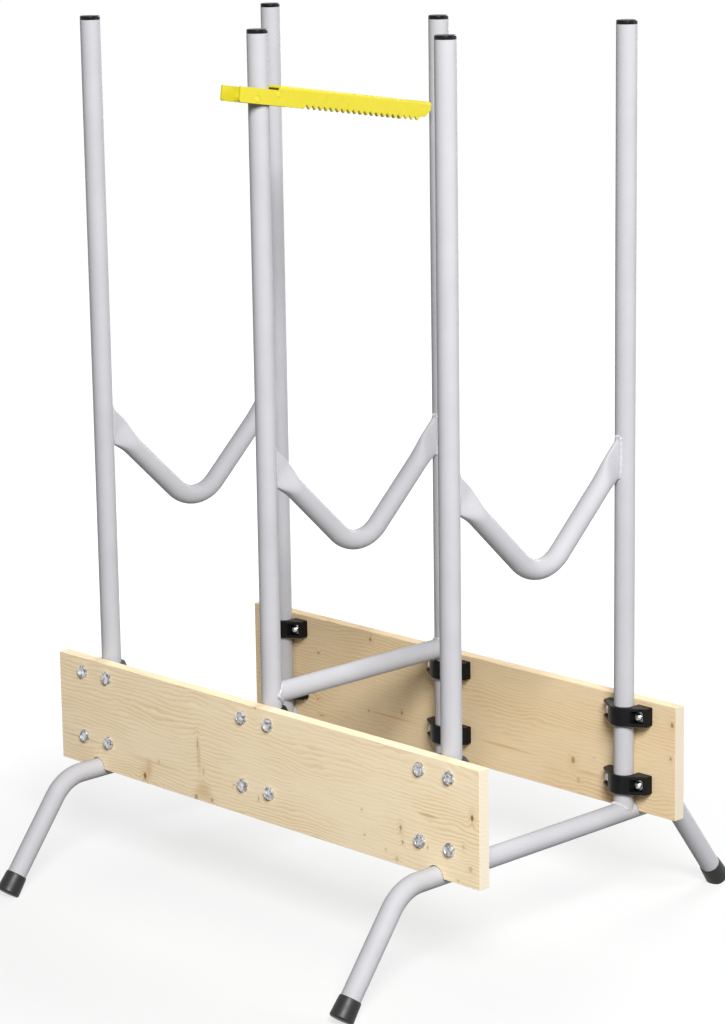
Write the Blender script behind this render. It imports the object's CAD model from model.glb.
import math

import bmesh
import bpy
from mathutils import Matrix, Vector


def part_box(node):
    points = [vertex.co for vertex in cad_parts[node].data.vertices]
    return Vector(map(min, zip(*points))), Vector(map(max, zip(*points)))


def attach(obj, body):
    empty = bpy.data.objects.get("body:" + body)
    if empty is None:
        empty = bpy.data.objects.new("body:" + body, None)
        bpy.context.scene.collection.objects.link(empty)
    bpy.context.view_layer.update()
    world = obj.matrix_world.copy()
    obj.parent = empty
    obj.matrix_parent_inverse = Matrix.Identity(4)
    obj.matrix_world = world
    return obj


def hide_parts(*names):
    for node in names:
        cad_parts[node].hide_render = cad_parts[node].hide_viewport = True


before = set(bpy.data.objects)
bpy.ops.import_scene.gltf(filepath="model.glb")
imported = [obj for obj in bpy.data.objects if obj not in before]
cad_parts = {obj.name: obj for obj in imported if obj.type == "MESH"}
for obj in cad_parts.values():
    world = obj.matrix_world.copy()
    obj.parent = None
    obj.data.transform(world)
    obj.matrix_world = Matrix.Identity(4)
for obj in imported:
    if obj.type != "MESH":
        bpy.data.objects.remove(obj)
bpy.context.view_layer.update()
print("frame loaded:", len(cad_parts), "nodes")

mm = 0.001
hair = 0.01 * mm      # closer than this counts as the same place
seam = 0.002          # gap in mm that is closed as a seam
sharpFrom = 34        # degrees between two faces, past which their edge stays sharp
scene = bpy.context.scene
scene.view_settings.view_transform = "Standard"
sides = ("front", "back")
frames = ("left", "middle", "right")
outerFrames = ("left", "right")
levels = ("upper", "lower")

# Camera at the photograph's place: a long lens from the front right
camera = {
    "place": (2.684609, -2.582126, 1.333527),
    "azimuth": 46.023,
    "elevation": 12.704,
    "roll": -0.867,
    "lens": 108.01,
    "sensor": 36,
    "clipEnd": 100,
}


def placeCamera():
    turn, rise, roll = (math.radians(camera[key]) for key in ("azimuth", "elevation", "roll"))
    back = Vector((math.sin(turn) * math.cos(rise), -math.cos(turn) * math.cos(rise), math.sin(rise)))
    right = Vector((0, 0, 1)).cross(back).normalized()
    up = back.cross(right)
    across = right * math.cos(roll) + up * math.sin(roll)
    upward = up * math.cos(roll) - right * math.sin(roll)
    data = bpy.data.cameras.new("camera")
    data.lens = camera["lens"]
    data.sensor_width = camera["sensor"]
    data.clip_end = camera["clipEnd"]
    thing = bpy.data.objects.new("camera", data)
    scene.collection.objects.link(thing)
    turned = Matrix((across, upward, back)).transposed().to_4x4()
    thing.matrix_world = Matrix.Translation(camera["place"]) @ turned
    scene.camera = thing


placeCamera()
print("camera placed")


def linear(code):
    # sRGB hex code to linear colour
    channels = [int(code[i:i + 2], 16) / 255 for i in (1, 3, 5)]
    return [c / 12.92 if c <= 0.04045 else ((c + 0.055) / 1.055) ** 2.4 for c in channels] + [1]


def addNode(tree, kind, settings=None, inputs=None):
    # One node with its settings, fixed values and links
    node = tree.nodes.new("ShaderNode" + kind)
    for key, value in (settings or {}).items():
        setattr(node, key, value)
    for key, value in (inputs or {}).items():
        if isinstance(value, bpy.types.NodeSocket):
            tree.links.new(value, node.inputs[key])
        else:
            node.inputs[key].default_value = value
    return node.outputs


def newMaterial(name):
    # The material, its nodes and the place on the piece that its patterns read
    material = bpy.data.materials.new(name)
    material.use_nodes = True
    tree = material.node_tree
    tree.nodes.clear()
    return material, tree, addNode(tree, "TexCoord")["Object"]


def finishMaterial(tree, finish, colour, vary, height, metal=0.0):
    # Roughness that varies over the surface, a fine bump, and the shader
    rough = addNode(tree, "MapRange", None, {
        "Value": vary, "To Min": finish["rough"][0], "To Max": finish["rough"][1],
    })[0]
    bump = addNode(tree, "Bump", None, {
        "Height": height, "Strength": finish["bump"], "Distance": finish["bumpDeep"] * mm,
    })[0]
    shader = addNode(tree, "BsdfPrincipled", None, {
        "Base Color": colour, "Metallic": metal, "Roughness": rough, "Normal": bump,
        "Specular IOR Level": finish["specular"],
    })[0]
    addNode(tree, "OutputMaterial", None, {"Surface": shader})


# Floor and studio light
studio = {
    "floor": "#767676", "floorR": 40, "floorSteps": 96,
    "glowNear": 0.74, "glowFar": 1.0, "near": 0.5, "far": 1.3,
    "ambient": 0.04,
    "lamps": (
        # name, place in metres, size in metres, power in watts
        ("key", (3.45, -2.64, 3.5), 2.0, 420),
        ("rim", (2.85, 2.4, 1.55), 1.6, 40),
        ("back", (-0.8, 3.6, 2.2), 2.2, 125),
    ),
    "aim": (0, 0, 0.5),
}


def shownRays(tree):
    # One for the rays that show the background: straight, mirrored or through glass
    path = addNode(tree, "LightPath")
    seen = addNode(tree, "Math", {"operation": "MAXIMUM"}, {
        0: path["Is Camera Ray"], 1: path["Is Glossy Ray"],
    })[0]
    return addNode(tree, "Math", {"operation": "MAXIMUM"}, {0: seen, 1: path["Is Transmission Ray"]})[0]


def lightStudio():
    world = bpy.data.worlds.new("studio")
    scene.world = world
    world.use_nodes = True
    tree = world.node_tree
    tree.nodes.clear()
    strength = addNode(tree, "MapRange", None, {
        "Value": shownRays(tree), "To Min": studio["ambient"], "To Max": 1.0,
    })[0]
    background = addNode(tree, "Background", None, {"Color": (1, 1, 1, 1), "Strength": strength})[0]
    addNode(tree, "OutputWorld", None, {"Surface": background})

    # The floor shows white, and a soft shadow near the stand
    white, tree, place = newMaterial("studio_floor")
    away = addNode(tree, "VectorMath", {"operation": "LENGTH"}, {0: place})["Value"]
    glow = addNode(tree, "MapRange", {"interpolation_type": "SMOOTHSTEP"}, {
        "Value": away, "From Min": studio["near"], "From Max": studio["far"],
        "To Min": studio["glowNear"], "To Max": studio["glowFar"],
    })[0]
    glow = addNode(tree, "Math", {"operation": "MULTIPLY"}, {0: glow, 1: shownRays(tree)})[0]
    shader = addNode(tree, "BsdfPrincipled", None, {
        "Base Color": linear(studio["floor"]),
        "Roughness": 1.0,
        "Specular IOR Level": 0.0,
        "Emission Color": (1, 1, 1, 1),
        "Emission Strength": glow,
    })[0]
    addNode(tree, "OutputMaterial", None, {"Surface": shader})
    bm = bmesh.new()
    bmesh.ops.create_circle(bm, cap_ends=True, segments=studio["floorSteps"], radius=studio["floorR"])
    mesh = bpy.data.meshes.new("studio_floor")
    bm.to_mesh(mesh)
    bm.free()
    floor = bpy.data.objects.new("studio_floor", mesh)
    floor.data.materials.append(white)
    scene.collection.objects.link(floor)

    for name, place, size, power in studio["lamps"]:
        data = bpy.data.lights.new(name, "AREA")
        data.shape = "DISK"
        data.size = size
        data.energy = power
        lamp = bpy.data.objects.new(name, data)
        scene.collection.objects.link(lamp)
        lamp.location = place
        lamp.rotation_mode = "QUATERNION"
        lamp.rotation_quaternion = (Vector(studio["aim"]) - Vector(place)).to_track_quat("-Z", "Y")


lightStudio()
print("studio lit")


# In the finishes, "rough" runs from the smoothest to the roughest spot, and sizes are in mm
# Powder-coated steel tube, sprayed silver grey and baked: satin, with a faint orange peel
powderCoat = {
    "peel": 1.4,      # the real peel is about half as coarse: it is drawn at this size so that it shows
    "bump": 0.12, "bumpDeep": 0.05,
    "tube": {"colour": "#BBBBBF", "shade": "#AFAFB3", "cloud": 45, "rough": (0.4, 0.52), "specular": 0.07},
    # On a weld bead the coat is thicker, paler and glossier
    "weld": {"colour": "#C9C9CE", "shade": "#B0B0B5", "cloud": 5, "rough": (0.28, 0.4), "specular": 0.3},
}


def makePowderCoat(name, coat):
    finish = {**powderCoat, **coat}
    material, tree, place = newMaterial(name)
    cloud = addNode(tree, "TexNoise", None, {
        "Vector": place, "Scale": 1 / (finish["cloud"] * mm), "Detail": 4.0,
    })[0]
    peel = addNode(tree, "TexNoise", None, {
        "Vector": place, "Scale": 1 / (finish["peel"] * mm), "Detail": 2.0,
    })[0]
    colour = addNode(tree, "Mix", {"data_type": "RGBA"}, {
        0: cloud, 6: linear(finish["shade"]), 7: linear(finish["colour"]),
    })[2]
    finishMaterial(tree, finish, colour, cloud, peel)
    return material


# Planed spruce: pale cream with faint year rings along the board, small brown knots and resin streaks
spruce = {
    "knot": "#7C5330", "halo": "#C79F6A", "resin": "#B98A42", "end": "#D8D0C2",
    "ring": 4.6, "ringDark": (0.25, 1.0),     # year ring width, and the share of it that darkens
    # Sizes along and across the grain, and how far they push the rings
    "wander": (166.667, 71.4286), "wanderBy": 34,
    "ripple": (18.1818, 8.33333), "rippleBy": 3.4,
    "knotBy": 7,
    "fibre": (71.4286, 0.9),                  # drawn coarser than it is so that it shows
    "fibreRange": (0.3, 0.75), "fibreWeight": 0.42,
    "patch": (125, 50), "patchRange": (0.4, 0.7), "patchWeight": 0.24,
    "ringWeight": (0.16, 0.55), "knotRing": 0.25,
    # Outer and inner reach of a knot, its halo and a streak, in half widths
    "knotReach": (1.15, 0.45), "haloReach": (4.0, 0.4), "streakReach": (1.1, 0.2),
    "haloWeight": 0.25, "fray": 0.8,
    "endFacing": (0.8, 0.95), "endWeight": 0.7,
    "rough": (0.54, 0.72), "specular": 0.25, "bump": 0.2, "bumpDeep": 0.1,
}


def grainScale(size):
    along, across = (1 / (s * mm) for s in size)
    return along, across, across


def makeSpruce(name, pattern):
    material, tree, place = newMaterial(name)
    # Year rings are cylinders round the pith, which lies outside the board and wanders along it
    drift = addNode(tree, "Mapping", None, {
        "Vector": place, "Location": pattern["drift"], "Scale": grainScale(spruce["wander"]),
    })[0]
    wander = addNode(tree, "TexNoise", None, {"Vector": drift, "Scale": 1.0, "Detail": 3.0, "Roughness": 0.55})
    fine = addNode(tree, "Mapping", None, {
        "Vector": place, "Location": pattern["drift"], "Scale": grainScale(spruce["ripple"]),
    })[0]
    ripple = addNode(tree, "TexNoise", None, {"Vector": fine, "Scale": 1.0, "Detail": 2.0})[0]
    pith = addNode(tree, "Mapping", None, {
        "Vector": place, "Location": (0, -pattern["pith"][0] * mm, -pattern["pith"][1] * mm), "Scale": (0, 1, 1),
    })[0]
    radius = addNode(tree, "VectorMath", {"operation": "LENGTH"}, {0: pith})["Value"]
    knotMask, haloMask = 0.0, 0.0
    for x, z, wide, high, dark in pattern["knots"]:
        spot = addNode(tree, "Mapping", None, {
            "Vector": place, "Location": (-x / wide, 0, -z / high), "Scale": (1 / (wide * mm), 0, 1 / (high * mm)),
        })[0]
        reach = addNode(tree, "VectorMath", {"operation": "LENGTH"}, {0: spot})["Value"]
        core = addNode(tree, "MapRange", {"interpolation_type": "SMOOTHSTEP"}, {
            "Value": reach, "From Min": spruce["knotReach"][0], "From Max": spruce["knotReach"][1], "To Max": dark,
        })[0]
        halo = addNode(tree, "MapRange", {"interpolation_type": "SMOOTHSTEP"}, {
            "Value": reach, "From Min": spruce["haloReach"][0], "From Max": spruce["haloReach"][1], "To Max": dark,
        })[0]
        knotMask = addNode(tree, "Math", {"operation": "MAXIMUM"}, {0: core, 1: knotMask})[0]
        haloMask = addNode(tree, "Math", {"operation": "MAXIMUM"}, {0: halo, 1: haloMask})[0]
    for push, by in ((wander[0], "wanderBy"), (ripple, "rippleBy"), (haloMask, "knotBy")):
        radius = addNode(tree, "Math", {"operation": "MULTIPLY_ADD"}, {0: push, 1: spruce[by] * mm, 2: radius})[0]
    # Each ring darkens slowly and ends at once
    turns = addNode(tree, "Math", {"operation": "DIVIDE"}, {0: radius, 1: spruce["ring"] * mm})[0]
    within = addNode(tree, "Math", {"operation": "FRACT"}, {0: turns})[0]
    ring = addNode(tree, "MapRange", {"interpolation_type": "SMOOTHSTEP"}, {
        "Value": within, "From Min": spruce["ringDark"][0], "From Max": spruce["ringDark"][1],
    })[0]
    thread = addNode(tree, "Mapping", None, {"Vector": place, "Scale": grainScale(spruce["fibre"])})[0]
    fibre = addNode(tree, "TexNoise", None, {"Vector": thread, "Scale": 1.0, "Detail": 3.0, "Roughness": 0.6})[0]
    patch = addNode(tree, "Mapping", None, {
        "Vector": place, "Location": pattern["drift"], "Scale": grainScale(spruce["patch"]),
    })[0]
    patch = addNode(tree, "TexNoise", None, {"Vector": patch, "Scale": 1.0, "Detail": 3.0})[0]
    # Rings are stronger in some stretches of the board than in others, and round the knots
    weight = addNode(tree, "MapRange", None, {
        "Value": patch, "From Min": spruce["patchRange"][0], "From Max": spruce["patchRange"][1],
        "To Min": spruce["ringWeight"][0], "To Max": spruce["ringWeight"][1],
    })[0]
    weight = addNode(tree, "Math", {"operation": "MULTIPLY_ADD"}, {
        0: haloMask, 1: spruce["knotRing"], 2: weight,
    })[0]
    streak = addNode(tree, "MapRange", None, {
        "Value": fibre, "From Min": spruce["fibreRange"][0], "From Max": spruce["fibreRange"][1],
        "To Max": spruce["fibreWeight"],
    })[0]
    grain = addNode(tree, "Math", {"operation": "MULTIPLY_ADD"}, {0: ring, 1: weight, 2: streak})[0]
    # Broad paler and darker stretches
    grain = addNode(tree, "Math", {"operation": "MULTIPLY_ADD"}, {0: patch, 1: spruce["patchWeight"], 2: grain})[0]
    grain = addNode(tree, "Math", {"operation": "ADD"}, {0: grain, 1: pattern["shade"]})[0]
    colour = addNode(tree, "Mix", {"data_type": "RGBA"}, {
        0: grain, 6: linear(pattern["early"]), 7: linear(pattern["late"]),
    })[2]
    fray = spruce["fray"]
    for x, z, long, high, dark in pattern["streaks"]:
        spot = addNode(tree, "Mapping", None, {
            "Vector": place, "Location": (-x / long - fray / 2, 0, -z / high - fray / 2),
            "Scale": (1 / (long * mm), 0, 1 / (high * mm)),
        })[0]
        # The noise frays the streak's outline
        spot = addNode(tree, "VectorMath", {"operation": "MULTIPLY_ADD"}, {
            0: wander["Color"], 1: (fray, 0, fray), 2: spot,
        })["Vector"]
        reach = addNode(tree, "VectorMath", {"operation": "LENGTH"}, {0: spot})["Value"]
        resin = addNode(tree, "MapRange", {"interpolation_type": "SMOOTHSTEP"}, {
            "Value": reach, "From Min": spruce["streakReach"][0], "From Max": spruce["streakReach"][1],
            "To Max": dark,
        })[0]
        colour = addNode(tree, "Mix", {"data_type": "RGBA"}, {0: resin, 6: colour, 7: linear(spruce["resin"])})[2]
    haze = addNode(tree, "Math", {"operation": "MULTIPLY"}, {0: haloMask, 1: spruce["haloWeight"]})[0]
    # Sawn end grain is greyer than the planed faces
    facing = addNode(tree, "SeparateXYZ", None, {0: addNode(tree, "TexCoord")["Normal"]})["X"]
    facing = addNode(tree, "Math", {"operation": "ABSOLUTE"}, {0: facing})[0]
    atEnd = addNode(tree, "MapRange", None, {
        "Value": facing, "From Min": spruce["endFacing"][0], "From Max": spruce["endFacing"][1],
        "To Max": spruce["endWeight"],
    })[0]
    for mask, tint in ((haze, "halo"), (knotMask, "knot"), (atEnd, "end")):
        colour = addNode(tree, "Mix", {"data_type": "RGBA"}, {0: mask, 6: colour, 7: linear(spruce[tint])})[2]
    height = addNode(tree, "Math", {"operation": "ADD"}, {0: grain, 1: fibre})[0]
    finishMaterial(tree, spruce, colour, fibre, height)
    return material


# Moulded nylon, black: semi-gloss with a fine spark-eroded grain from the mould
nylon = {
    "colour": "#0B0B0C", "worn": "#161617", "patch": 14, "rough": (0.22, 0.42), "specular": 0.12,
    "grain": 0.7,     # drawn coarser than it is, so that it shows
    "bump": 0.15, "bumpDeep": 0.06,
}


def makeNylon():
    material, tree, place = newMaterial("moulded_nylon")
    patch = addNode(tree, "TexNoise", None, {
        "Vector": place, "Scale": 1 / (nylon["patch"] * mm), "Detail": 3.0,
    })[0]
    grain = addNode(tree, "TexVoronoi", None, {"Vector": place, "Scale": 1 / (nylon["grain"] * mm)})[0]
    colour = addNode(tree, "Mix", {"data_type": "RGBA"}, {
        0: patch, 6: linear(nylon["colour"]), 7: linear(nylon["worn"]),
    })[2]
    finishMaterial(tree, nylon, colour, patch, grain)
    return material


# Black rubber ferrule: dull, slightly dusty where it has rubbed on the floor
rubber = {
    "colour": "#111112", "dust": "#2B2A28", "dustTop": 12, "patch": 6, "rough": (0.36, 0.56), "specular": 0.4,
    "grain": 0.9, "bump": 0.2, "bumpDeep": 0.08,
}


def makeRubber():
    material, tree, place = newMaterial("foot_rubber")
    height = addNode(tree, "SeparateXYZ", None, {0: place})["Z"]
    low = addNode(tree, "MapRange", {"interpolation_type": "SMOOTHSTEP"}, {
        "Value": height, "From Min": rubber["dustTop"] * mm, "From Max": 0.0,
    })[0]
    patch = addNode(tree, "TexNoise", None, {
        "Vector": place, "Scale": 1 / (rubber["patch"] * mm), "Detail": 4.0,
    })[0]
    dust = addNode(tree, "Math", {"operation": "MULTIPLY"}, {0: low, 1: patch})[0]
    grain = addNode(tree, "TexNoise", None, {
        "Vector": place, "Scale": 1 / (rubber["grain"] * mm), "Detail": 2.0,
    })[0]
    colour = addNode(tree, "Mix", {"data_type": "RGBA"}, {
        0: dust, 6: linear(rubber["colour"]), 7: linear(rubber["dust"]),
    })[2]
    finishMaterial(tree, rubber, colour, patch, grain)
    return material


# Zinc-plated steel: grey plating with a cloudy spangle and fine handling marks
zinc = {
    "colour": "#E0E1E3", "dull": "#7A7C80", "spangle": 4, "cloud": (0.35, 0.65),
    "rough": (0.18, 0.36), "specular": 0.5, "marks": 0.6, "bump": 0.1, "bumpDeep": 0.05,
}


def makeZinc():
    material, tree, place = newMaterial("zinc_plated_steel")
    spangle = addNode(tree, "TexNoise", None, {
        "Vector": place, "Scale": 1 / (zinc["spangle"] * mm), "Detail": 3.0,
    })[0]
    marks = addNode(tree, "TexNoise", None, {
        "Vector": place, "Scale": 1 / (zinc["marks"] * mm), "Detail": 2.0,
    })[0]
    cloud = addNode(tree, "MapRange", None, {
        "Value": spangle, "From Min": zinc["cloud"][0], "From Max": zinc["cloud"][1],
    })[0]
    colour = addNode(tree, "Mix", {"data_type": "RGBA"}, {
        0: cloud, 6: linear(zinc["dull"]), 7: linear(zinc["colour"]),
    })[2]
    finishMaterial(tree, zinc, colour, spangle, marks, metal=1.0)
    return material


# Yellow enamel on folded sheet: smooth and satin, with faint scuffs
enamel = {
    "colour": "#CEC32A", "shade": "#C4B520", "scuff": 9, "rough": (0.34, 0.52), "specular": 0.3,
    "peel": 1.6, "bump": 0.12, "bumpDeep": 0.05,
}


def makeEnamel():
    material, tree, place = newMaterial("yellow_enamel")
    scuff = addNode(tree, "TexNoise", None, {
        "Vector": place, "Scale": 1 / (enamel["scuff"] * mm), "Detail": 4.0,
    })[0]
    peel = addNode(tree, "TexNoise", None, {
        "Vector": place, "Scale": 1 / (enamel["peel"] * mm), "Detail": 1.0,
    })[0]
    colour = addNode(tree, "Mix", {"data_type": "RGBA"}, {
        0: scuff, 6: linear(enamel["shade"]), 7: linear(enamel["colour"]),
    })[2]
    finishMaterial(tree, enamel, colour, scuff, peel)
    return material


# Steel pin, painted with the arm and rubbed bare and dark where it bears on the upright
pinSteel = {
    "colour": "#3B3834", "rust": "#55483C", "paintFrom": 6, "patch": 4, "rough": (0.3, 0.55), "specular": 0.3,
    "bump": 0.15, "bumpDeep": 0.05,
}


def makePinSteel():
    material, tree, place = newMaterial("oiled_pin_steel")
    patch = addNode(tree, "TexNoise", None, {
        "Vector": place, "Scale": 1 / (pinSteel["patch"] * mm), "Detail": 3.0,
    })[0]
    steel = addNode(tree, "Mix", {"data_type": "RGBA"}, {
        0: patch, 6: linear(pinSteel["colour"]), 7: linear(pinSteel["rust"]),
    })[2]
    side = addNode(tree, "SeparateXYZ", None, {0: place})["X"]
    side = addNode(tree, "Math", {"operation": "ABSOLUTE"}, {0: side})[0]
    painted = addNode(tree, "Math", {"operation": "GREATER_THAN"}, {0: side, 1: pinSteel["paintFrom"] * mm})[0]
    colour = addNode(tree, "Mix", {"data_type": "RGBA"}, {0: painted, 6: steel, 7: linear(enamel["colour"])})[2]
    metal = addNode(tree, "Math", {"operation": "SUBTRACT"}, {0: 1.0, 1: painted})[0]
    finishMaterial(tree, pinSteel, colour, patch, patch, metal)
    return material


coatedSteelMaterial = makePowderCoat("powder_coated_steel", powderCoat["tube"])
coatedWeldMaterial = makePowderCoat("powder_coated_weld", powderCoat["weld"])
nylonMaterial = makeNylon()
rubberMaterial = makeRubber()
zincMaterial = makeZinc()
enamelMaterial = makeEnamel()
pinMaterial = makePinSteel()
print("materials mixed")


def tidyMesh(bm, near=seam):
    # Closes seams, takes out slivers and turns the faces outwards
    bmesh.ops.remove_doubles(bm, verts=bm.verts, dist=near * mm)
    bmesh.ops.dissolve_degenerate(bm, edges=bm.edges, dist=near * mm)
    bmesh.ops.recalc_face_normals(bm, faces=bm.faces)


def makePiece(bm, name, body, slot, material, *nodes):
    # A finished piece: smooth faces with sharp corners, its material, its body and what it stands for
    mesh = bpy.data.meshes.new(name)
    bm.to_mesh(mesh)
    bm.free()
    for face in mesh.polygons:
        face.use_smooth = True
    mesh.set_sharp_from_angle(angle=math.radians(sharpFrom))
    mesh.materials.append(material)
    piece = bpy.data.objects.new(name, mesh)
    scene.collection.objects.link(piece)
    # Large flat faces stay flat between rounded edges
    shading = piece.modifiers.new("shading", "WEIGHTED_NORMAL")
    shading.keep_sharp = True
    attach(piece, body)
    if nodes:
        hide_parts(*nodes)


def cutWith(bm, cutter, operation="DIFFERENCE"):
    # Cuts, joins or crosses two closed shapes, and gives back the result
    shapes = []
    for shape in (bm, cutter):
        mesh = bpy.data.meshes.new("shape")
        shape.to_mesh(mesh)
        shape.free()
        thing = bpy.data.objects.new("shape", mesh)
        scene.collection.objects.link(thing)
        shapes.append(thing)
    modifier = shapes[0].modifiers.new("cut", "BOOLEAN")
    modifier.operation = operation
    modifier.solver = "EXACT"
    modifier.object = shapes[1]
    result = bmesh.new()
    result.from_object(shapes[0], bpy.context.evaluated_depsgraph_get())
    for thing in shapes:
        mesh = thing.data
        bpy.data.objects.remove(thing)
        bpy.data.meshes.remove(mesh)
    tidyMesh(result)
    return result


def cutOff(bm, place, outward):
    # Cuts a shape off at a plane and closes the cut
    bmesh.ops.bisect_plane(bm, geom=bm.verts[:] + bm.edges[:] + bm.faces[:], dist=0.001 * mm,
                           plane_co=place, plane_no=outward, clear_outer=True)
    bmesh.ops.holes_fill(bm, edges=[e for e in bm.edges if e.is_boundary])


def softenEdges(bm, width, steps, edges=None, sharper=40):
    # Rounds the sharp edges, or the edges given
    if edges is None:
        edges = [e for e in bm.edges if e.is_manifold and e.calc_face_angle(0) > math.radians(sharper)]
    bmesh.ops.bevel(bm, geom=edges, offset=width * mm, offset_type="OFFSET", affect="EDGES",
                    segments=steps, profile=0.5, material=-1, clamp_overlap=True)


def turnedShape(profile, steps):
    # A shape turned about Z from a profile of radius and height
    bm = bmesh.new()
    verts = [bm.verts.new((r * mm, 0, z * mm)) for r, z in profile]
    edges = [bm.edges.new(pair) for pair in zip(verts, verts[1:])]
    bmesh.ops.spin(bm, geom=verts + edges, cent=(0, 0, 0), axis=(0, 0, 1), angle=2 * math.pi,
                   steps=steps, use_merge=True)
    tidyMesh(bm)
    return bm


def cornerRound(r, z, curve, start, steps=6):
    # The quarter round of a profile, from an end face at the start angle to the side
    angles = [start * (1 - k / steps) for k in range(steps + 1)]
    return [(r - curve + curve * math.cos(a), z + curve * math.sin(a)) for a in angles]


def blockShape(low, high):
    # A box between two corners
    low, high = Vector(low) * mm, Vector(high) * mm
    bm = bmesh.new()
    bmesh.ops.create_cube(bm, size=1)
    bmesh.ops.scale(bm, verts=bm.verts, vec=high - low)
    bmesh.ops.translate(bm, verts=bm.verts, vec=(low + high) / 2)
    return bm


def addRod(bm, radius, long, matrix, steps):
    # A straight rod along Z, centred, carried by a matrix in metres
    bmesh.ops.create_cone(bm, cap_ends=True, segments=steps, radius1=radius * mm, radius2=radius * mm,
                          depth=long * mm, matrix=matrix)


def addTo(bm, other, matrix):
    # Puts a copy of another shape into this one
    mesh = bpy.data.meshes.new("copy")
    other.to_mesh(mesh)
    mesh.transform(matrix)
    bm.from_mesh(mesh)
    bpy.data.meshes.remove(mesh)


def middleOf(node):
    low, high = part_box(node)
    return (low + high) / 2


def clampName(side, f, level):
    return "clamp_" + side + "_" + f + "_" + level


alongX = Matrix.Rotation(math.pi / 2, 4, "Y")
alongY = Matrix.Rotation(math.pi / 2, 4, "X")
upsideDown = Matrix.Rotation(math.pi, 4, "X")
flipY = Matrix.Diagonal((1, -1, 1, 1))

# Tubes keep their solids and get the powder coat
tubes = ["middle_cross_tube", "leg_tube_left", "leg_tube_right"]
tubes += ["upright_" + s + "_" + f for s in sides for f in frames]
for tube in tubes:
    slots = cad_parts[tube].data.materials
    slots.clear()
    slots.append(coatedSteelMaterial)
print("tubes coated:", len(tubes))

# Boards: planed, with softened arrises, a half-round notch over each leg tube and bolt holes
board = {
    "arris": 1.1, "sliver": 0.3,      # slivers where two roundings meet are merged at this size
    "notchR": 13.5, "notchRound": 3, "notchSteps": 72,
    "holeR": 4.25, "holeSteps": 24, "boltX": 24, "drill": 40,
    "patterns": {
        "front": {
            "early": "#FDECCB", "late": "#DFBD88", "shade": -0.17,
            "pith": (-110, 350), "drift": (0.3, 0.1, 0.2),
            # x, z, half width, half height, darkness
            "knots": (
                (-212, 147, 3.4, 5, 0.85), (-108, 211, 2.0, 9, 0.4), (-113, 141, 3.4, 4, 0.6),
                (-83, 143, 4, 3, 0.5), (-98, 177, 1.5, 4, 0.4), (-184, 172, 1.6, 1.6, 0.5),
                (-41, 172, 2.0, 1.6, 0.4), (4, 165, 1.5, 2.0, 0.5), (186, 192, 1.3, 1.3, 0.5),
                (190, 161, 1.4, 1.6, 0.5), (367, 222, 2.4, 4.5, 0.95), (251, 184, 2.4, 4, 0.6),
                (254, 167, 1.8, 2.6, 0.6), (295, 170, 1.0, 1.6, 0.7), (353, 184, 2.6, 4, 0.25),
                (364, 160, 3.4, 4, 0.35), (244, 144, 3.5, 4, 0.3), (226, 152, 1.3, 1.3, 0.4),
                (344, 141, 1.5, 1.5, 0.5), (1, 279, 2.4, 2, 0.4),
            ),
            "streaks": (
                (298, 209, 22, 2.6, 0.6), (-200, 168, 60, 3, 0.25), (-340, 172, 60, 2, 0.35),
                (-100, 152, 20, 16, 0.38), (-106, 192, 5, 26, 0.28), (-204, 158, 9, 17, 0.32),
            ),
        },
        "back": {
            "early": "#EAD8B6", "late": "#D0AE7C", "shade": -0.03,
            "pith": (240, 30), "drift": (4.3, 2.1, 1.2),
            "knots": (
                (-150, 270, 2.2, 2.4, 0.85), (-251, 233, 1.8, 2.0, 0.7), (-92, 180, 1.8, 2.6, 0.8),
                (-155, 170, 1.6, 1.6, 0.6), (-254, 167, 1.8, 1.8, 0.5), (-247, 145, 5, 1.2, 0.5),
                (212, 180, 4.0, 5.0, 0.6), (221, 156, 3.5, 3.5, 0.3), (373, 258, 3, 4, 0.7),
                (371, 215, 1.8, 2.4, 0.7), (247, 190, 2, 2, 0.2),
            ),
            "streaks": ((-110, 171, 70, 1.8, 0.5), (100, 173, 60, 2.4, 0.45), (237, 168, 30, 2, 0.4)),
        },
    },
}


def makeBoard(side):
    node = side + "_board"
    low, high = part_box(node)
    middleY = (low.y + high.y) / 2
    bm = blockShape(low / mm, high / mm)
    notches = bmesh.new()
    for f in outerFrames:
        spot = Matrix.Translation((middleOf("leg_tube_" + f).x, middleY, low.z)) @ alongY
        addRod(notches, board["notchR"], board["drill"], spot, board["notchSteps"])
    bm = cutWith(bm, notches)
    mouths = []
    for edge in bm.edges:
        first, second = (v.co for v in edge.verts)
        across = abs(first.y - second.y) > (high.y - low.y) / 2
        inside = abs(first.x) < high.x - hair
        if across and inside and max(first.z, second.z) < low.z + hair:
            mouths.append(edge)
    softenEdges(bm, board["notchRound"], steps=4, edges=mouths)
    softenEdges(bm, board["arris"], steps=2, sharper=60)
    tidyMesh(bm, board["sliver"])
    holes = bmesh.new()
    for f in frames:
        for level in levels:
            middle = middleOf(clampName(side, f, level))
            for s in (-1, 1):
                spot = Matrix.Translation((middle.x + s * board["boltX"] * mm, middleY, middle.z)) @ alongY
                addRod(holes, board["holeR"], board["drill"], spot, board["holeSteps"])
    bm = cutWith(bm, holes)
    material = makeSpruce("planed_spruce_" + side, board["patterns"][side])
    makePiece(bm, "spruce_" + node, "stand", "wood", material, node)


for side in sides:
    makeBoard(side)
print("boards planed")

# Saddle clamps: a bow round the upright, an ear on each side with a nut pocket, chamfered rims
clamp = {
    "high": 23.5, "half": 35, "earEnd": 11, "floor": 5.5, "axis": 12.8,
    "bowR": 18, "bowSteps": 16, "boreR": 12.7, "boreSteps": 32,
    "pocketWide": 13.6, "pocketHigh": 15.6, "pocketClear": 60, "sideClear": 5,
    "boltX": 24, "holeR": 4.25, "holeSteps": 24, "drill": 30,
    "rim": 1.7, "rimFrom": 1, "soft": 0.6,
}


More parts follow.
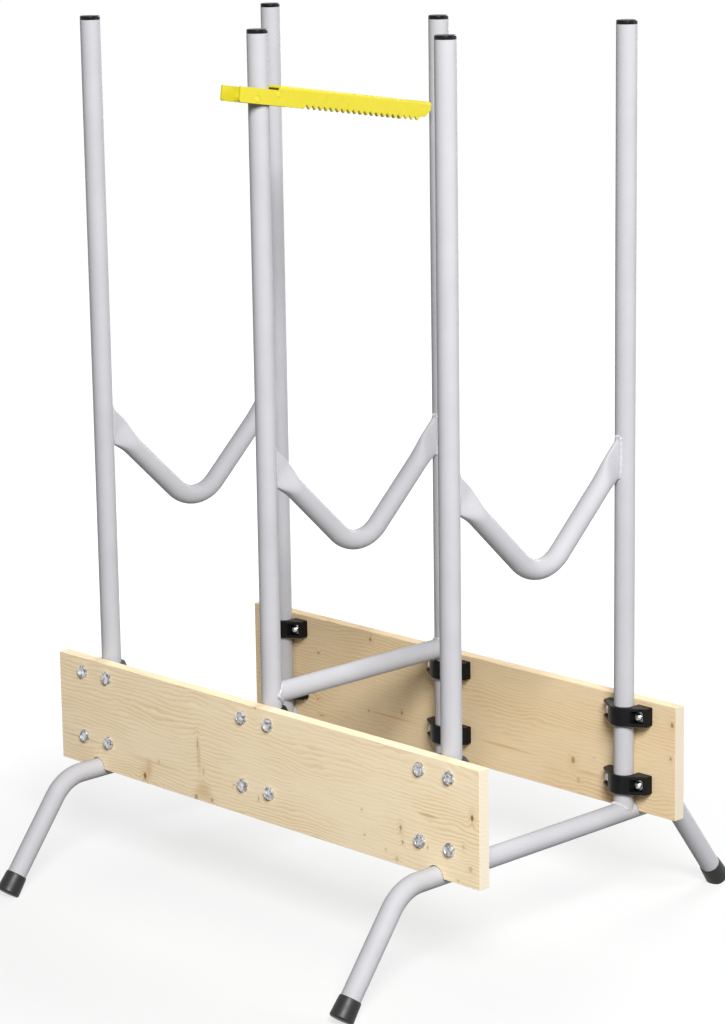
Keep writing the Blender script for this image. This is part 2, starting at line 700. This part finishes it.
def makeClampShape():
    half, ear, axis, bow, bore = (clamp[key] for key in ("half", "earEnd", "axis", "bowR", "boreR"))
    turn = math.atan2(ear - axis, half) + math.acos(bow / math.hypot(half, axis - ear))
    bm = bmesh.new()

    def point(x, y):
        return bm.verts.new((x * mm, y * mm, 0))

    def arc(start, angle, steps):
        made = bmesh.ops.spin(bm, geom=[start], cent=(0, axis * mm, 0), axis=(0, 0, 1), angle=angle, steps=steps)
        return next(g for g in made["geom_last"] if isinstance(g, bmesh.types.BMVert))

    first = point(half, 0)
    ears = [first, point(half, ear), point(bow * math.cos(turn), axis + bow * math.sin(turn))]
    bowEnd = arc(ears[-1], math.pi - 2 * turn, clamp["bowSteps"])
    boreStart = [bowEnd, point(-half, ear), point(-half, 0), point(-bore, 0), point(-bore, axis)]
    boreEnd = arc(boreStart[-1], -math.pi, clamp["boreSteps"])
    last = [boreEnd, point(bore, 0), first]
    for chain in (ears, boreStart, last):
        for pair in zip(chain, chain[1:]):
            bm.edges.new(pair)
    bmesh.ops.edgeloop_fill(bm, edges=bm.edges)
    made = bmesh.ops.extrude_face_region(bm, geom=bm.faces[:])
    grown = [g for g in made["geom"] if isinstance(g, bmesh.types.BMVert)]
    bmesh.ops.translate(bm, verts=grown, vec=(0, 0, clamp["high"] * mm))
    bmesh.ops.translate(bm, verts=bm.verts, vec=(0, 0, -clamp["high"] / 2 * mm))
    tidyMesh(bm)
    # The outer rims are chamfered, where the mould's halves meet
    rims = []
    for edge in bm.edges:
        level = abs(edge.verts[0].co.z - edge.verts[1].co.z) < hair
        middle = (edge.verts[0].co + edge.verts[1].co) / 2
        out = math.hypot(middle.x, middle.y - axis * mm) > (bow - clamp["rimFrom"]) * mm
        if level and out and middle.y > clamp["rimFrom"] * mm:
            rims.append(edge)
    softenEdges(bm, clamp["rim"], steps=2, edges=rims)
    # One nut pocket is closed at the sides, the other is open to the end
    wide, tall, boltX = clamp["pocketWide"] / 2, clamp["pocketHigh"] / 2, clamp["boltX"]
    floor, clear = clamp["floor"], clamp["pocketClear"]
    cutter = blockShape((boltX - wide, floor, -tall), (boltX + wide, clear, tall))
    openPocket = blockShape((-half - clamp["sideClear"], floor, -tall), (-boltX + wide, clear, tall))
    addTo(cutter, openPocket, Matrix())
    openPocket.free()
    bm = cutWith(bm, cutter)
    softenEdges(bm, clamp["soft"], steps=2, sharper=50)
    holes = bmesh.new()
    for s in (-1, 1):
        spot = Matrix.Translation((s * boltX * mm, 0, 0)) @ alongY
        addRod(holes, clamp["holeR"], clamp["drill"], spot, clamp["holeSteps"])
    return cutWith(bm, holes)


def clampPlace(side, name):
    # From the clamp's own frame, with the board's face at Y zero, to its place on the front or the back
    low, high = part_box(name)
    middle = (low + high) / 2
    if side == "front":
        return Matrix.Translation((middle.x, low.y, middle.z))
    return Matrix.Translation((middle.x, high.y, middle.z)) @ flipY


clampShape = makeClampShape()
for side in sides:
    for f in frames:
        for level in levels:
            name = clampName(side, f, level)
            bm = bmesh.new()
            addTo(bm, clampShape, clampPlace(side, name))
            bmesh.ops.recalc_face_normals(bm, faces=bm.faces)
            makePiece(bm, "saddle_" + name, "stand", "black_plastic", nylonMaterial, name)
clampShape.free()
print("clamps moulded")

# Flanged hexagon bolts and plain nuts, four at each upright
bolt = {
    "flat": 13, "flangeThick": 1.4, "headHigh": 3, "headFrom": 0.4, "hexFrom": 0.5, "spare": 1, "steps": 48,
    # Radius and depth under the top: the head's chamfer and its dish
    "crown": ((9, 1.7), (6.6, 0.4), (5.4, 0), (4.6, 0.8), (0, 1.1)),
    # Radius and height of the flange
    "flange": ((0, 1.7), (6.9, 1.7), (8.2, 1.0), (8.5, 0.7), (8.5, 0.2), (8.2, 0)),
    "r": 4, "thread": 1.25, "threadDeep": 0.55, "threadEdge": 0.2, "tip": 0.8, "shankSteps": 32,
    "through": 16, "floor": 5.5, "tail": 4, "turnStep": 37,
    "nutHigh": 6.5, "nutR": 7.6, "nutFaceR": 6.4, "nutChamfer": 0.7, "nutGap": 0.1, "drill": 40,
}


def hexShape(low, high, spin=0):
    bm = bmesh.new()
    radius = bolt["flat"] / 2 / math.cos(math.pi / 6)
    spot = Matrix.Translation((0, 0, (low + high) / 2 * mm)) @ Matrix.Rotation(spin, 4, "Z")
    addRod(bm, radius, high - low, spot, 6)
    return bm


def makeBoltShape():
    top = bolt["flangeThick"] + bolt["headHigh"]
    shank = bolt["through"] + bolt["floor"] + bolt["nutHigh"] + bolt["tail"]
    # The head: a hexagon with a turned chamfer and a dished top
    crown = [(r, top - depth) for r, depth in bolt["crown"]]
    dome = turnedShape([(0, bolt["headFrom"]), (crown[0][0], bolt["headFrom"])] + crown, bolt["steps"])
    head = cutWith(hexShape(bolt["hexFrom"], top + bolt["spare"]), dome, "INTERSECT")
    # Flange, shank and thread grooves are turned
    r, tip = bolt["r"], bolt["tip"]
    profile = [*bolt["flange"], (r, 0)]
    z = -shank + tip
    grooves = []
    while z < -bolt["through"]:
        grooves.append((r, z + bolt["threadEdge"]))
        grooves.append((r - bolt["threadDeep"], z + bolt["thread"] / 2))
        z += bolt["thread"]
    profile += reversed(grooves)
    profile += [(r - bolt["threadEdge"], -shank + tip), (r - tip, -shank), (0, -shank)]
    return cutWith(turnedShape(profile, bolt["shankSteps"]), head, "UNION")


def makeNutShape():
    high, r, faceR, chamfer = (bolt[key] for key in ("nutHigh", "nutR", "nutFaceR", "nutChamfer"))
    profile = ((0, 0), (faceR, 0), (r, chamfer), (r, high - chamfer), (faceR, high), (0, high))
    block = hexShape(-bolt["spare"], high + bolt["spare"], math.pi / 6)
    nut = cutWith(block, turnedShape(profile, bolt["steps"]), "INTERSECT")
    bore = bmesh.new()
    addRod(bore, bolt["r"] + bolt["nutGap"], bolt["drill"], Matrix(), bolt["shankSteps"])
    return cutWith(nut, bore)


boltShape = makeBoltShape()
nutShape = makeNutShape()
for side in sides:
    toward = 1 if side == "front" else -1
    for i, f in enumerate(frames):
        bolts, nuts = bmesh.new(), bmesh.new()
        for k, level in enumerate(levels):
            low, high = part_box(clampName(side, f, level))
            face = low.y if side == "front" else high.y
            for j, s in enumerate((-1, 1)):
                x, z = (low.x + high.x) / 2 + s * clamp["boltX"] * mm, (low.z + high.z) / 2
                # Neighbouring heads stop at different turns
                turn = Matrix.Rotation(math.radians(bolt["turnStep"] * (4 * i + 2 * j + k)), 4, "Z")
                outer = Matrix.Translation((x, face - toward * bolt["through"] * mm, z))
                addTo(bolts, boltShape, outer @ Matrix.Rotation(toward * math.pi / 2, 4, "X") @ turn)
                inner = Matrix.Translation((x, face + toward * bolt["floor"] * mm, z))
                addTo(nuts, nutShape, inner @ Matrix.Rotation(-toward * math.pi / 2, 4, "X"))
        place = side + "_" + f
        makePiece(bolts, "flange_bolts_" + place, "stand", "zinc_steel", zincMaterial, "bolts_" + place)
        makePiece(nuts, "hex_nuts_" + place, "stand", "zinc_steel", zincMaterial, "nuts_" + place)
boltShape.free()
nutShape.free()
print("bolts and nuts fitted")

# Tube plugs: a flange as wide as the tube, slightly crowned, over a ribbed stem
plug = {
    "r": 12.5, "flange": 5, "round": 1.6, "crown": 0.35, "edge": 0.3, "steps": 64,
    "stemR": 10.2, "stem": 14, "tip": 0.8, "tipIn": 1,
    "ribR": 10.85, "ribs": 3, "ribFrom": 3, "ribStep": 4, "ribFoot": 1.2, "ribTop": 0.4,
}


def makePlugShape():
    r, top, curve, edge, stemR = (plug[key] for key in ("r", "flange", "round", "edge", "stemR"))
    profile = [(0, top + plug["crown"])] + cornerRound(r, top - curve, curve, math.pi / 2)
    profile += [(r, edge), (r - edge, 0), (stemR, 0)]
    for k in range(plug["ribs"]):
        z = -plug["ribFrom"] - plug["ribStep"] * k
        profile += [(stemR, z + plug["ribFoot"]), (plug["ribR"], z + plug["ribTop"])]
        profile += [(plug["ribR"], z - plug["ribTop"]), (stemR, z - plug["ribFoot"])]
    end = -plug["stem"]
    profile += [(stemR, end + plug["tip"]), (stemR - plug["tipIn"], end), (0, end)]
    return turnedShape(profile, plug["steps"])


def fitPlug(name, tubeEnd, turn):
    bm = bmesh.new()
    middle = middleOf(name)
    addTo(bm, plugShape, Matrix.Translation((middle.x, middle.y, tubeEnd)) @ turn)
    makePiece(bm, "nylon_" + name, "stand", "black_plastic", nylonMaterial, name)


plugShape = makePlugShape()
for side in sides:
    for f in frames:
        name = "top_plug_" + side + "_" + f
        fitPlug(name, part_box(name)[1].z - plug["flange"] * mm, Matrix())
    name = "bottom_plug_" + side + "_middle"
    fitPlug(name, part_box(name)[0].z + plug["flange"] * mm, upsideDown)
plugShape.free()
print("plugs pressed in")

# Foot caps: tapered rubber ferrules, cut flat where they stand
foot = {
    "baseR": 15, "round": 3, "steps": 64,
    # Radius and height: up the side, over the rim and down the bore
    "side": (
        (14.65, 9), (14.05, 22), (13.7, 26.1), (13.3, 26.8), (12.95, 27), (12.65, 26.7), (12.65, 7), (0, 7),
    ),
    "y": 334.45, "z": 5.3, "lean": 36.8699,
}


def makeFootShape():
    curve = foot["round"]
    profile = [(0, 0)] + cornerRound(foot["baseR"], curve, curve, -math.pi / 2)
    return turnedShape([*profile, *foot["side"]], foot["steps"])


footShape = makeFootShape()
for side in sides:
    toward = 1 if side == "front" else -1
    for f in outerFrames:
        name = "foot_cap_" + side + "_" + f
        bm = bmesh.new()
        spot = Matrix.Translation((middleOf(name).x, -toward * foot["y"] * mm, foot["z"] * mm))
        addTo(bm, footShape, spot @ Matrix.Rotation(-toward * math.radians(foot["lean"]), 4, "X"))
        cutOff(bm, (0, 0, 0), (0, 0, -1))
        tidyMesh(bm)
        makePiece(bm, "rubber_" + name, "stand", "foot_rubber", rubberMaterial, name)
footShape.free()
print("feet capped")

# Cradles: a bent tube, its ends pressed flat and coped to the uprights
cradle = {
    "tubeR": 12.5, "around": 48, "slope": 43.5, "bendR": 50, "bendSteps": 12,
    "taper": 64, "taperSteps": 14, "flat": 26, "flatShare": 1.5, "endWide": 36, "endThick": 8, "past": 16,
    "postY": 151, "copeR": 12.55, "copeSteps": 64, "copeUp": 100, "copeLong": 400,
}


def cradleEnd(share):
    # Half thickness and half straight length of the section, from round at 0 to pressed at 1
    ease = share * share * (3 - 2 * share)
    thick = cradle["tubeR"] + (cradle["endThick"] / 2 - cradle["tubeR"]) * ease
    wide = cradle["tubeR"] + (cradle["endWide"] / 2 - cradle["tubeR"]) * ease
    return thick, wide - thick


def sectionOut(thick, straight, cosine):
    # How far a point of the section stands from its middle, across the pressing
    return thick * cosine + straight * max(-1, min(1, cradle["flatShare"] * cosine))


def makeCradle(f):
    name = "cradle_" + f
    slope = math.radians(cradle["slope"])
    along = Vector((0, math.cos(slope), math.sin(slope)))
    over = Vector((0, -math.sin(slope), math.cos(slope)))
    armLong = (cradle["postY"] - cradle["bendR"] * math.sin(slope)) / math.cos(slope)
    bm = bmesh.new()
    bmesh.ops.create_circle(bm, cap_ends=False, radius=cradle["tubeR"] * mm, segments=cradle["around"],
                            matrix=alongY)
    made = bmesh.ops.spin(bm, geom=bm.verts[:] + bm.edges[:], cent=(0, 0, cradle["bendR"] * mm),
                          axis=(1, 0, 0), angle=slope, steps=cradle["bendSteps"])
    ring = [g for g in made["geom_last"] if isinstance(g, bmesh.types.BMEdge)]
    bendEnd = Vector((0, cradle["bendR"] * math.sin(slope), cradle["bendR"] * (1 - math.cos(slope)))) * mm
    # The arm is drawn out ring by ring, and each ring is pressed a little flatter
    steps = cradle["taperSteps"]
    pressed = cradle["taper"] - cradle["flat"]
    runs = [(armLong - cradle["taper"] + pressed * k / steps, k / steps) for k in range(steps + 1)]
    runs += [(armLong + cradle["past"], 1)]
    reached, share = 0, 0
    for reach, newShare in runs:
        made = bmesh.ops.extrude_edge_only(bm, edges=ring)
        ring = [g for g in made["geom"] if isinstance(g, bmesh.types.BMEdge)]
        ringVerts = [g for g in made["geom"] if isinstance(g, bmesh.types.BMVert)]
        bmesh.ops.translate(bm, verts=ringVerts, vec=along * (reach - reached) * mm)
        middle = bendEnd + along * reach * mm
        wasThick, _ = cradleEnd(share)
        thick, straight = cradleEnd(newShare)
        for vert in ringVerts:
            out = (vert.co - middle).dot(over)
            sine = max(-1, min(1, vert.co.x / (wasThick * mm)))
            cosine = math.copysign(math.sqrt(1 - sine * sine), out)
            sideways = Vector((thick * sine * mm, 0, 0))
            vert.co = middle + over * sectionOut(thick, straight, cosine) * mm + sideways
        reached, share = reach, newShare
    bmesh.ops.mirror(bm, geom=bm.verts[:] + bm.edges[:] + bm.faces[:], matrix=Matrix(), merge_dist=hair, axis="Y")
    bmesh.ops.holes_fill(bm, edges=[e for e in bm.edges if e.is_boundary])
    for s in (-1, 1):
        cutOff(bm, (0, s * cradle["postY"] * mm, 0), (0, s, 0))
    tidyMesh(bm)
    # The pressed sides are warped, and a cut through flat triangles leaves no slivers
    bmesh.ops.triangulate(bm, faces=bm.faces)
    low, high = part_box(name)
    axisZ = low.z + cradle["tubeR"] * mm
    middleX = (low.x + high.x) / 2
    bmesh.ops.translate(bm, verts=bm.verts, vec=(middleX, 0, axisZ))
    posts = bmesh.new()
    for s in (-1, 1):
        spot = Matrix.Translation((middleX, s * cradle["postY"] * mm, axisZ + cradle["copeUp"] * mm))
        addRod(posts, cradle["copeR"], cradle["copeLong"], spot, cradle["copeSteps"])
    bm = cutWith(bm, posts)
    makePiece(bm, "pressed_" + name, "stand", "tube_steel", coatedSteelMaterial, name)
    return middleX, axisZ, bendEnd, along, over


cradlePlaces = {f: makeCradle(f) for f in frames}
print("cradles bent")

# Weld beads, powder coated with the tubes: a row of small overlapping ripples
weld = {
    "size": 2.4, "around": 3, "ripple": 0.2, "rippleBeat": 2.1, "sway": 0.07, "swayBeat": 0.53,
    "endSize": 0.35, "endGrow": 0.16,     # an open bead starts thin and grows point by point
    "cradleSteps": 72, "crossSteps": 56, "footSteps": 44, "footFrom": 200, "footTo": 340,
}


def makeWeld(name, points, closed):
    curve = bpy.data.curves.new(name, "CURVE")
    curve.dimensions = "3D"
    curve.bevel_depth = weld["size"] * mm
    curve.bevel_resolution = weld["around"]
    curve.use_fill_caps = True
    spline = curve.splines.new("POLY")
    last = len(points) - 1
    spline.points.add(last)
    spline.use_cyclic_u = closed
    for i, (spot, point) in enumerate(zip(spline.points, points)):
        spot.co = (*point, 1)
        ends = 1 if closed else min(1, weld["endSize"] + min(i, last - i) * weld["endGrow"])
        ripple = weld["ripple"] * math.sin(i * weld["rippleBeat"])
        sway = weld["sway"] * math.sin(i * weld["swayBeat"] + len(name))
        spot.radius = ends * (1 + ripple + sway)
    thing = bpy.data.objects.new(name + "_path", curve)
    scene.collection.objects.link(thing)
    mesh = bpy.data.meshes.new_from_object(thing.evaluated_get(bpy.context.evaluated_depsgraph_get()))
    bm = bmesh.new()
    bm.from_mesh(mesh)
    bpy.data.objects.remove(thing)
    bpy.data.curves.remove(curve)
    bpy.data.meshes.remove(mesh)
    tidyMesh(bm)
    makePiece(bm, name, "stand", "tube_steel", coatedWeldMaterial)


def postFace(x):
    # The inner face of an upright, at a distance to the side of its axis
    return cradle["postY"] - math.sqrt(max(0, cradle["tubeR"] ** 2 - x * x))


def weldCradle(f):
    middleX, axisZ, bendEnd, along, over = cradlePlaces[f]
    thick, straight = cradleEnd(1)
    for s, side in zip((-1, 1), sides):
        points = []
        for k in range(weld["cradleSteps"]):
            angle = 2 * math.pi * k / weld["cradleSteps"]
            x = thick * math.sin(angle)
            y = postFace(x)
            start = bendEnd / mm + over * sectionOut(thick, straight, math.cos(angle))
            z = start.z + along.z * (y - start.y) / along.y
            points.append((middleX + x * mm, s * y * mm, axisZ + z * mm))
        makeWeld("weld_cradle_" + f + "_" + side, points, True)


def weldCrossTube():
    middle = middleOf("middle_cross_tube")
    r = cradle["tubeR"]
    for s, side in zip((-1, 1), sides):
        points = []
        for k in range(weld["crossSteps"]):
            angle = 2 * math.pi * k / weld["crossSteps"]
            x = r * math.cos(angle)
            points.append((middle.x + x * mm, s * postFace(x) * mm, middle.z + r * math.sin(angle) * mm))
        makeWeld("weld_cross_tube_" + side, points, True)


def weldFoot(side, f):
    # The bead runs round the inner side of the foot, clear of the board
    s = -1 if side == "front" else 1
    low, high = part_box("leg_tube_" + f)
    middleX = (low.x + high.x) / 2
    r = cradle["tubeR"] * mm
    points = []
    for k in range(weld["footSteps"] + 1):
        swing = (weld["footTo"] - weld["footFrom"]) * k / weld["footSteps"]
        angle = math.radians(weld["footFrom"] + swing)
        points.append((
            middleX + r * math.cos(angle),
            s * (cradle["postY"] * mm + r * math.sin(angle)),
            high.z - r + r * abs(math.sin(angle)),
        ))
    makeWeld("weld_foot_" + side + "_" + f, points, False)


for f in frames:
    weldCradle(f)
weldCrossTube()
for side in sides:
    for f in outerFrames:
        weldFoot(side, f)
print("welds laid")

# Hold-down arm: folded sheet with a fork round the upright and teeth below
arm = {
    "pitch": 8.5, "wide": 34.4, "inner": 28.4, "sheet": 3, "foldR": 4, "innerFoldR": 1,
    "front": -60.714, "rear": 256.01, "below": 14, "forkTop": 4.3, "top": 10.2, "step": 1,
    "noseCut": 2, "tailCut": 9, "toothStart": 47, "tooth": 9.6, "toothDeep": 5, "teeth": 20,
    "endClear": 20, "underClear": 60, "soft": 0.45,
    "pinR": 4, "pinGap": 0.05, "pinRim": (0.6, 0.5), "pinSteps": 48, "drill": 60,
    "frontPin": (-32.714, -8.428), "rearPin": (0, 0),
}


def armPlace():
    middle = middleOf("hold_down_rear_pin")
    return Matrix.Translation((0, middle.y, middle.z)) @ Matrix.Rotation(-math.radians(arm["pitch"]), 4, "X")


def pinPlace(pin):
    y, z = arm[pin]
    return Matrix.Translation((0, y * mm, z * mm)) @ alongX


def makeArm():
    bm = bmesh.new()
    bottom, top, front, rear = -arm["below"], arm["top"], arm["front"], arm["rear"]
    root = bottom + arm["toothDeep"]
    start, tooth = arm["toothStart"], arm["tooth"]
    outline = [(front + arm["noseCut"], bottom), (start - tooth / 2, bottom)]
    for k in range(arm["teeth"]):
        outline += [(start + k * tooth, root), (start + (k + 0.5) * tooth, bottom)]
    outline += [(start + arm["teeth"] * tooth, root), (rear - arm["tailCut"], root)]
    outline += [(rear, root + arm["tailCut"]), (rear, top)]
    outline += [(arm["step"] + (top - arm["forkTop"]) / 2, top), (arm["step"], arm["forkTop"])]
    outline += [(front, arm["forkTop"]), (front, bottom + arm["noseCut"])]
    verts = [bm.verts.new((-arm["wide"] / 2 * mm, y * mm, z * mm)) for y, z in outline]
    bm.faces.new(verts)
    made = bmesh.ops.extrude_face_region(bm, geom=bm.faces[:])
    grown = [g for g in made["geom"] if isinstance(g, bmesh.types.BMVert)]
    bmesh.ops.translate(bm, verts=grown, vec=(arm["wide"] * mm, 0, 0))
    tidyMesh(bm)
    folds = []
    for edge in bm.edges:
        first, second = (v.co for v in edge.verts)
        if abs(first.x - second.x) < hair and min(first.z, second.z) > top * mm - hair:
            folds.append(edge)
    softenEdges(bm, arm["foldR"], steps=5, edges=folds)
    half, clear = arm["inner"] / 2, arm["endClear"]
    channel = blockShape((-half, front - clear, -arm["underClear"]), (half, rear + clear, top - arm["sheet"]))
    topEdges = []
    for edge in channel.edges:
        first, second = (v.co for v in edge.verts)
        if min(first.z, second.z) > 0 and abs(first.x - second.x) < hair:
            topEdges.append(edge)
    softenEdges(channel, arm["innerFoldR"], steps=3, edges=topEdges)
    bm = cutWith(bm, channel)
    softenEdges(bm, arm["soft"], steps=2, sharper=35)
    holes = bmesh.new()
    for pin in ("rearPin", "frontPin"):
        addRod(holes, arm["pinR"] + arm["pinGap"], arm["drill"], pinPlace(pin), arm["pinSteps"])
    bm = cutWith(bm, holes)
    bmesh.ops.transform(bm, matrix=armPlace(), verts=bm.verts)
    makePiece(bm, "folded_hold_down_arm", "hold_down", "yellow_paint", enamelMaterial, "hold_down_arm")


def makePin(name, body, pin):
    r, half = arm["pinR"], arm["wide"] / 2
    inward, down = arm["pinRim"]
    profile = [(0, -half), (r - inward, -half), (r, -half + down), (r, half - down), (r - inward, half), (0, half)]
    bm = turnedShape(profile, arm["pinSteps"])
    bmesh.ops.transform(bm, matrix=armPlace() @ pinPlace(pin), verts=bm.verts)
    makePiece(bm, "turned_" + name, body, "pin_steel", pinMaterial, name)


makeArm()
makePin("hold_down_front_pin", "hold_down", "frontPin")
makePin("hold_down_rear_pin", "hold_down_pin", "rearPin")
print("hold-down arm folded")

print("sizes written")
